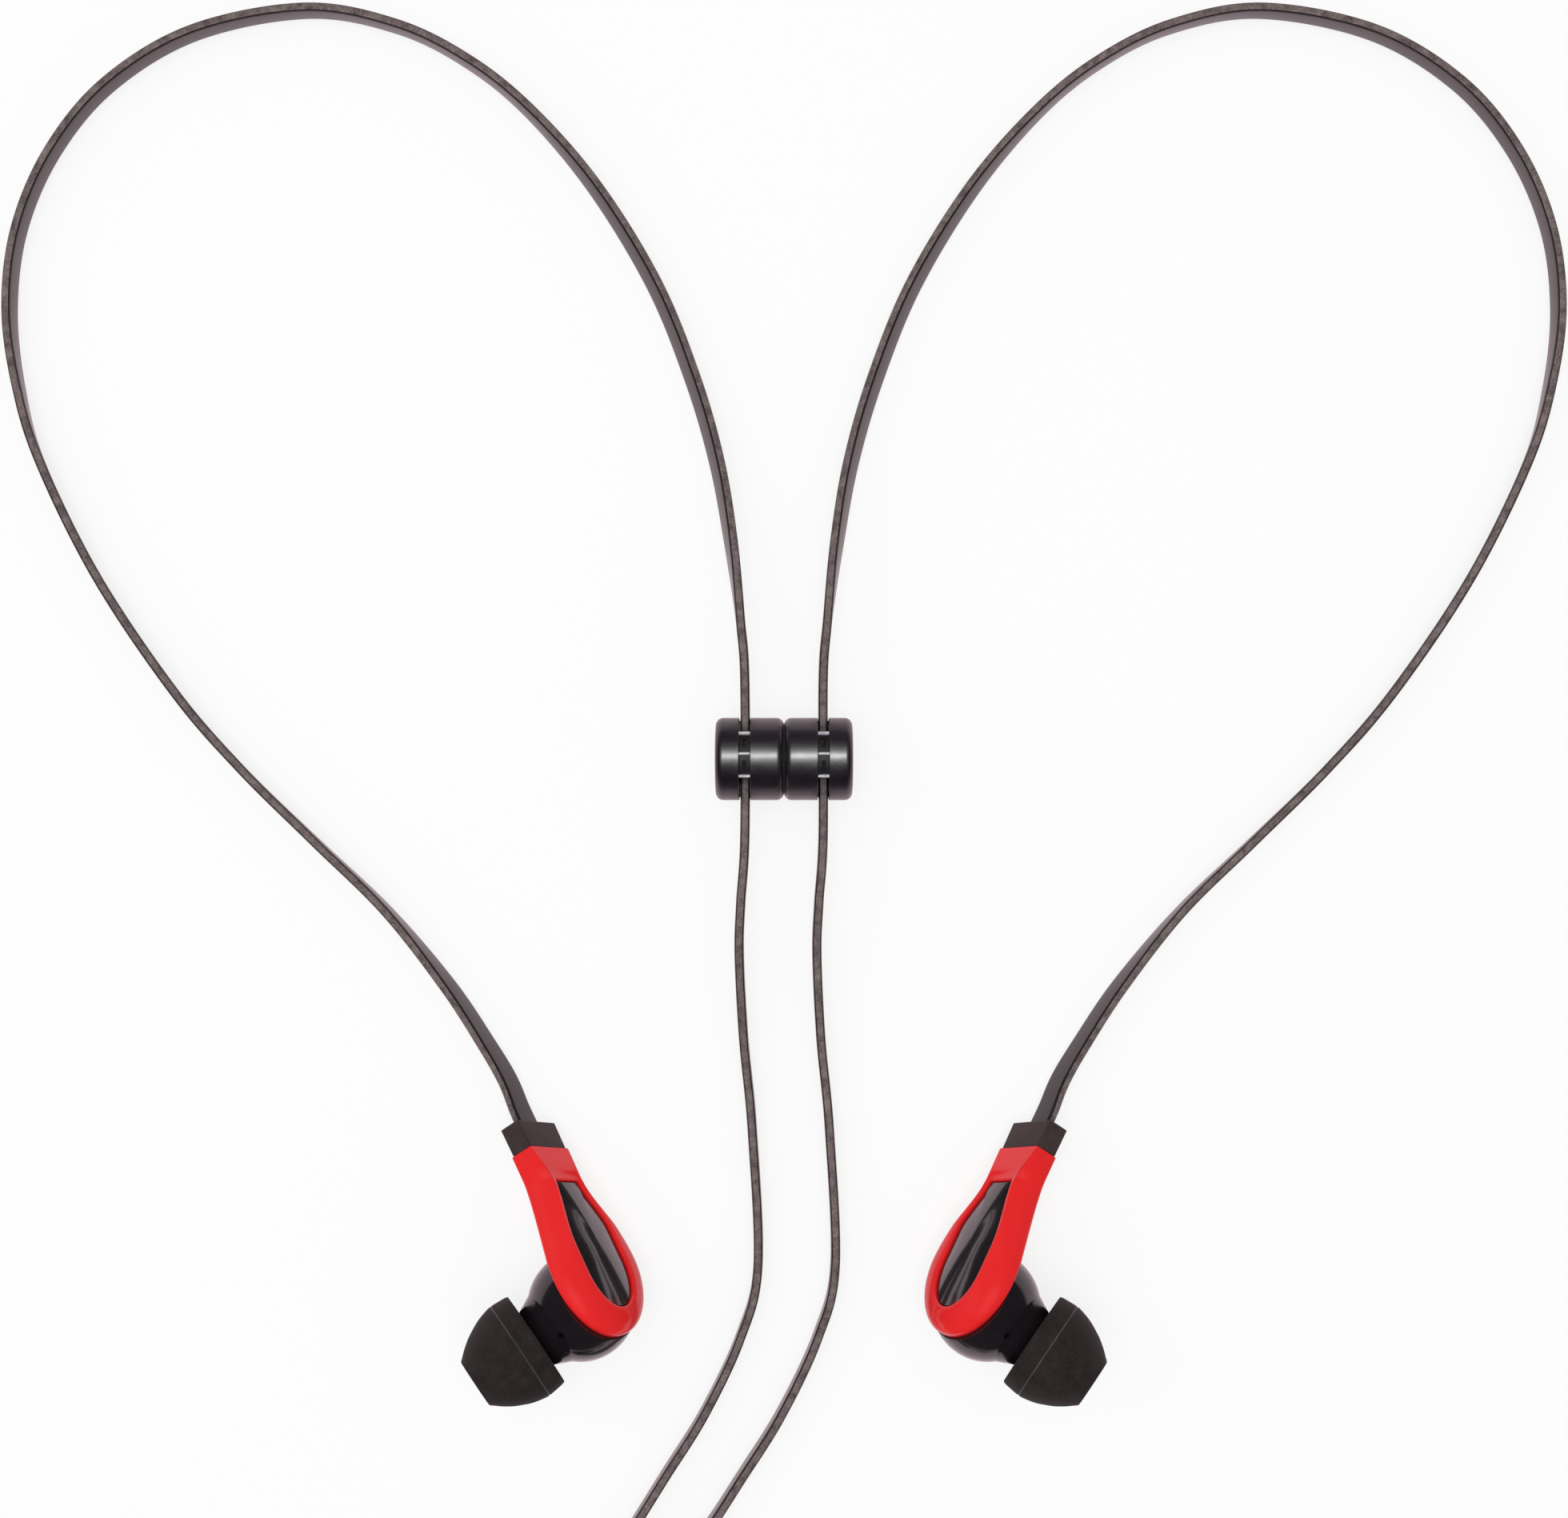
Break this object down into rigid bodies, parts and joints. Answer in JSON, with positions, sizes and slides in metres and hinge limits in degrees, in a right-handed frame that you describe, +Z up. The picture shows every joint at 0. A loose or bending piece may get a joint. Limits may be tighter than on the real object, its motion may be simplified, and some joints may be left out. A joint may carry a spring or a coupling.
{
  "type": "wired earphones",
  "caption": "Wired in-ear earphones with red shells and black inlays, flat grey cords held by a magnetic clasp, a splitter, a coiled lead and a 3.5 mm plug.",
  "frame": {"origin": "on the surface the earphones lie on, under the middle of the two earbuds", "axes": "+Z up, +Y from the earbuds towards the clasp and the two loops of cord, +X towards the right-hand earbud"},
  "size_m": [0.1862, 0.2497, 0.0148],
  "materials": {
    "shell_red": "satin painted plastic",
    "inlay_black": "gloss",
    "body_black": "gloss",
    "tip_silicone": "matte silicone",
    "soft_grey": "matte",
    "cord_grey": "satin, fine speckle",
    "bead_black": "gloss",
    "steel": "brushed",
    "magnet": "plated",
    "film": "satin film",
    "copper": "enamelled wire",
    "board": "satin",
    "gold_plate": "polished",
    "insulator": "matte",
    "plug_black": "satin"
  },
  "bodies": {
    "earphones": {"left_shell": "shell_red", "right_shell": "shell_red", "left_inlay": "inlay_black", "right_inlay": "inlay_black", "left_body": "body_black", "right_body": "body_black", "left_nozzle_mesh": "steel", "right_nozzle_mesh": "steel", "left_driver_frame": "insulator", "right_driver_frame": "insulator", "left_driver_magnet": "magnet", "right_driver_magnet": "magnet", "left_terminal_board": "board", "right_terminal_board": "board", "left_strain_relief": "soft_grey", "right_strain_relief": "soft_grey", "left_cord": "cord_grey", "right_cord": "cord_grey", "splitter_bottom": "plug_black", "splitter_top": "plug_black", "splitter_board": "board", "main_lead": "cord_grey", "lead_coil": "cord_grey", "lead_tail": "cord_grey", "coil_tie": "insulator", "plug_boot": "soft_grey", "plug_grip": "plug_black", "plug_sleeve": "gold_plate", "plug_ring": "gold_plate", "plug_tip": "gold_plate", "plug_insulators": "insulator"},
    "left_tip": {"left_ear_tip": "tip_silicone"},
    "left_bead": {"left_bead_shell": "bead_black", "left_bead_clip": "bead_black", "left_bead_magnet": "magnet", "left_bead_cap": "bead_black"},
    "left_driver_cone": {"left_diaphragm": "film", "left_voice_coil": "copper"},
    "right_tip": {"right_ear_tip": "tip_silicone"},
    "right_bead": {"right_bead_shell": "bead_black", "right_bead_clip": "bead_black", "right_bead_magnet": "magnet", "right_bead_cap": "bead_black"},
    "right_driver_cone": {"right_diaphragm": "film", "right_voice_coil": "copper"}
  },
  "joints": [
    {"name": "left_tip_slide", "type": "slide", "parent": "earphones", "child": "left_tip", "axis": [-0.8004, -0.5357, 0.2689], "range_m": [0, 0.011]},
    {"name": "left_bead_slide", "type": "slide", "parent": "earphones", "child": "left_bead", "axis": [0, 1, 0], "range_m": [-0.004, 0.004]},
    {"name": "left_driver_travel", "type": "slide", "parent": "earphones", "child": "left_driver_cone", "axis": [0.7086, 0.5134, 0.4841], "range_m": [-0.00015, 0.00015], "stiffness_N_per_m": 300},
    {"name": "right_tip_slide", "type": "slide", "parent": "earphones", "child": "right_tip", "axis": [0.8004, -0.5357, 0.2689], "range_m": [0, 0.011]},
    {"name": "right_bead_slide", "type": "slide", "parent": "earphones", "child": "right_bead", "axis": [0, 1, 0], "range_m": [-0.004, 0.004]},
    {"name": "right_driver_travel", "type": "slide", "parent": "earphones", "child": "right_driver_cone", "axis": [-0.7086, 0.5134, 0.4841], "range_m": [-0.00015, 0.00015], "stiffness_N_per_m": 300}
  ]
}
